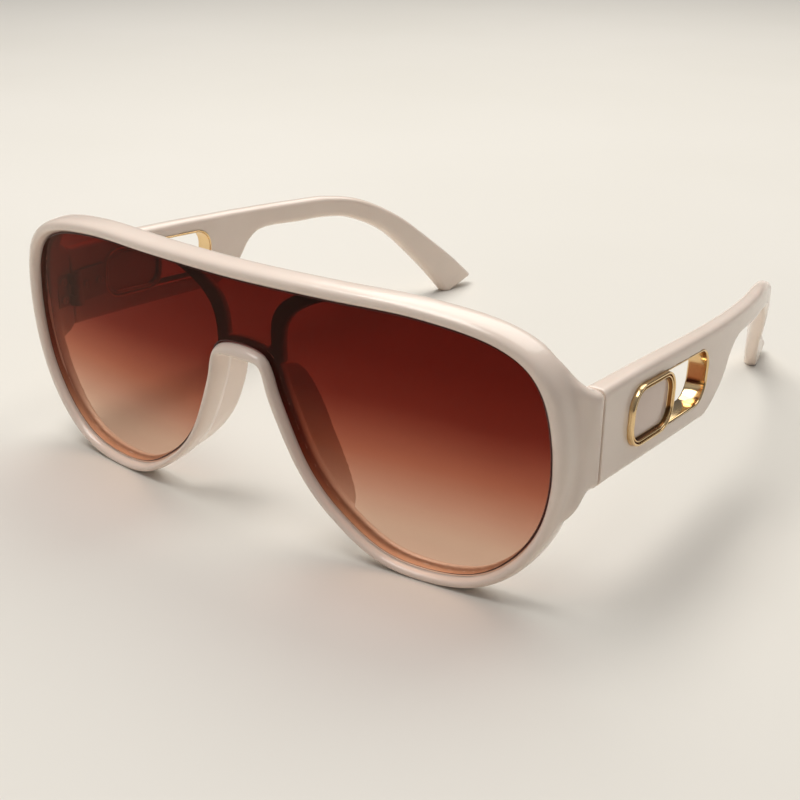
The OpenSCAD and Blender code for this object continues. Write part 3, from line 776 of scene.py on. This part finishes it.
def ring_object(side, name):
    profile = [(d, TRIM_OUT + RING_PROUD - h) for d, h in RING_PROFILE]
    profile += [(d, TRIM_IN - RING_PROUD + h) for d, h in RING_PROFILE[::-1]]
    ring = arm_mesh("ring_trim_" + name, side, swept(ring_line(0.0), profile))
    finish_piece(ring, "arm_" + name, GOLD, "accent_ring_" + name)
    # painted shade: the channel and the inner wall, on either face, take a darker gold
    ring.data.materials.append(GOLD_PAINTED_SHADE)
    rows = len(profile)
    for q in ring.data.polygons:
        k = sorted({i % rows for i in q.vertices})
        row = 0 if k == [0, rows - 1] else k[0]
        face = row if row < len(RING_PROFILE) else rows - 2 - row
        q.material_index = 1 if face in SHADED_ROWS else 0


def liner_object(side, name):
    """A thin wall with rolled lips, whose front end is hidden in the ring."""
    x0, x1 = TRIM_IN - LINER_PROUD, TRIM_OUT + LINER_PROUD
    profile = [(d, x0 + h) for d, h in LINER_LIP] + [(d, x1 - h) for d, h in LINER_LIP[::-1]]
    liner = arm_mesh("slot_lining_" + name, side, swept(slot_line(0.0), profile))
    cut(liner, hole_tool(ring_line(LINER_HOLE_IN), side))
    finish_piece(liner, "arm_" + name, GOLD, "slot_liner_" + name)


def panel_object(side, name):
    """The flat panel inside the ring, with a soft edge."""
    rings = [at_trim(TRIM_IN + h, panel_line(d)) for d, h in PANEL_EDGE]
    rings += [at_trim(TRIM_OUT - h, panel_line(d)) for d, h in PANEL_EDGE[::-1]]
    panel = arm_mesh("panel_" + name, side, skin(rings))
    # its darker cream is painted shade
    finish_piece(panel, "arm_" + name, PANEL_SHADED_CREAM, "accent_panel_" + name)


def arm_object(side, name):
    arm = arm_mesh("arm_moulding_" + name, side, arm_parts(side))
    for line in (ring_line(ARM_HOLE_IN), slot_line(ARM_HOLE_IN)):
        cut(arm, hole_tool(line, side))
    remesh(arm, ARM_VOXEL)
    cut(arm, table_box(*ARM_TABLE))
    cut(arm, pocket_box(side, *ARM_POCKET, True))
    finish_piece(arm, "arm_" + name, CREAM, "temple_" + name)


# Hinges: the CAD's own pieces
def hinge_materials():
    for node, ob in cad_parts.items():
        if "hinge" in node or "screw" in node:
            for slot in ob.material_slots:
                slot.link = "OBJECT"
                slot.material = SCREW if "screw" in node or "pin" in node else STEEL


# Floor, light and camera
FLOOR_HALF = 3.0
CAMERA_NEAR, CAMERA_FAR = 0.01, 20
# The photograph's camera, fitted to the lens outline and both arms: angles in radians, focal length in
# pixels, place in mm. The glasses were then rocked by STAND_TURN about STAND_Y and let down by STAND_DROP
# to stand on their feet, and the camera goes with them
YAW, PITCH, ROLL, FOCAL = 0.634523, 0.412442, 0.004629, 1323.4736
CAMERA_AT = (168.3564, -177.7944, 134.4959)
STAND_TURN, STAND_Y, STAND_DROP = 0.0063, 3, 0.89
PHOTO_W, SENSOR_W = 800, 36.0


def floor_object():
    h = FLOOR_HALF
    me = bpy.data.meshes.new("floor")
    me.from_pydata([(-h, -h, 0), (h, -h, 0), (h, h, 0), (-h, h, 0)], [], [(0, 1, 2, 3)])
    ob = bpy.data.objects.new("floor", me)
    bpy.context.scene.collection.objects.link(ob)
    n = Nodes("pale_floor")
    n.cloudy(scale=4, detail=3, low=srgb(219, 215, 206), high=srgb(223, 219, 211))
    n.base({"Roughness": 0.75, "Specular IOR Level": 0.25})
    me.materials.append(n.mat)


def studio_world():
    """Bright overhead, dimmer round the sides: a soft ceiling light."""
    world = bpy.data.worlds.new("studio")
    bpy.context.scene.world = world
    world.use_nodes = True
    t = world.node_tree
    bg = t.nodes["Background"]
    bg.inputs["Strength"].default_value = 0.42
    co = t.nodes.new("ShaderNodeTexCoord")
    sep = t.nodes.new("ShaderNodeSeparateXYZ")
    t.links.new(co.outputs["Generated"], sep.inputs[0])
    ramp = t.nodes.new("ShaderNodeValToRGB")
    els = ramp.color_ramp.elements
    els[0].position, els[0].color = 0.0, (0.12, 0.12, 0.135, 1)
    els[1].position, els[1].color = 0.9, (0.66, 0.67, 0.71, 1)
    t.links.new(sep.outputs["Z"], ramp.inputs["Fac"])
    t.links.new(ramp.outputs["Color"], bg.inputs["Color"])


def area(name, at, to, size, watts, colour):
    d = bpy.data.lights.new(name, "AREA")
    d.shape, d.size, d.size_y, d.energy, d.color = "RECTANGLE", size[0], size[1], watts, colour
    ob = bpy.data.objects.new(name, d)
    bpy.context.scene.collection.objects.link(ob)
    ob.location = at
    ob.rotation_euler = (Vector(to) - Vector(at)).to_track_quat("-Z", "Y").to_euler()


def photo_camera():
    fwd = Vector((-math.sin(YAW) * math.cos(PITCH), math.cos(YAW) * math.cos(PITCH), -math.sin(PITCH)))
    level = Vector((math.cos(YAW), math.sin(YAW), 0))
    up = level.cross(fwd)
    right = level * math.cos(ROLL) + up * math.sin(ROLL)
    up = up * math.cos(ROLL) - level * math.sin(ROLL)
    turn = Matrix.Rotation(STAND_TURN, 3, "X")
    spot = turn @ (Vector(CAMERA_AT) - Vector((0, STAND_Y, 0))) + Vector((0, STAND_Y - MID_Y, -STAND_DROP))
    cam = bpy.data.cameras.new("camera")
    cam.sensor_fit, cam.sensor_width = "HORIZONTAL", SENSOR_W
    cam.lens = FOCAL / PHOTO_W * SENSOR_W
    cam.clip_start, cam.clip_end = CAMERA_NEAR, CAMERA_FAR
    ob = bpy.data.objects.new("camera", cam)
    bpy.context.scene.collection.objects.link(ob)
    m = Matrix((turn @ right, turn @ up, turn @ -fwd)).transposed().to_4x4()
    m.translation = spot * MM
    ob.matrix_world = m
    bpy.context.scene.camera = ob


front_object()
lens_object()
for side, name in ((1, "left"), (-1, "right")):
    arm_object(side, name)
    ring_object(side, name)
    liner_object(side, name)
    panel_object(side, name)
hinge_materials()
floor_object()
studio_world()
area("key_behind", at=(-0.15, 0.65, 0.9), to=(0, 0, 0.02),
     size=(1.2, 0.8), watts=7.8, colour=(1.0, 0.97, 0.92))
area("top", at=(-0.25, -0.15, 0.95), to=(0, -0.02, 0.03),
     size=(0.7, 0.5), watts=6.4, colour=(1.0, 0.975, 0.94))
area("fill_front", at=(-0.55, -0.85, 0.5), to=(0, 0, 0.02),
     size=(0.9, 0.7), watts=0.5, colour=(1.0, 0.98, 0.96))
photo_camera()
bpy.context.scene.view_settings.view_transform = "Standard"
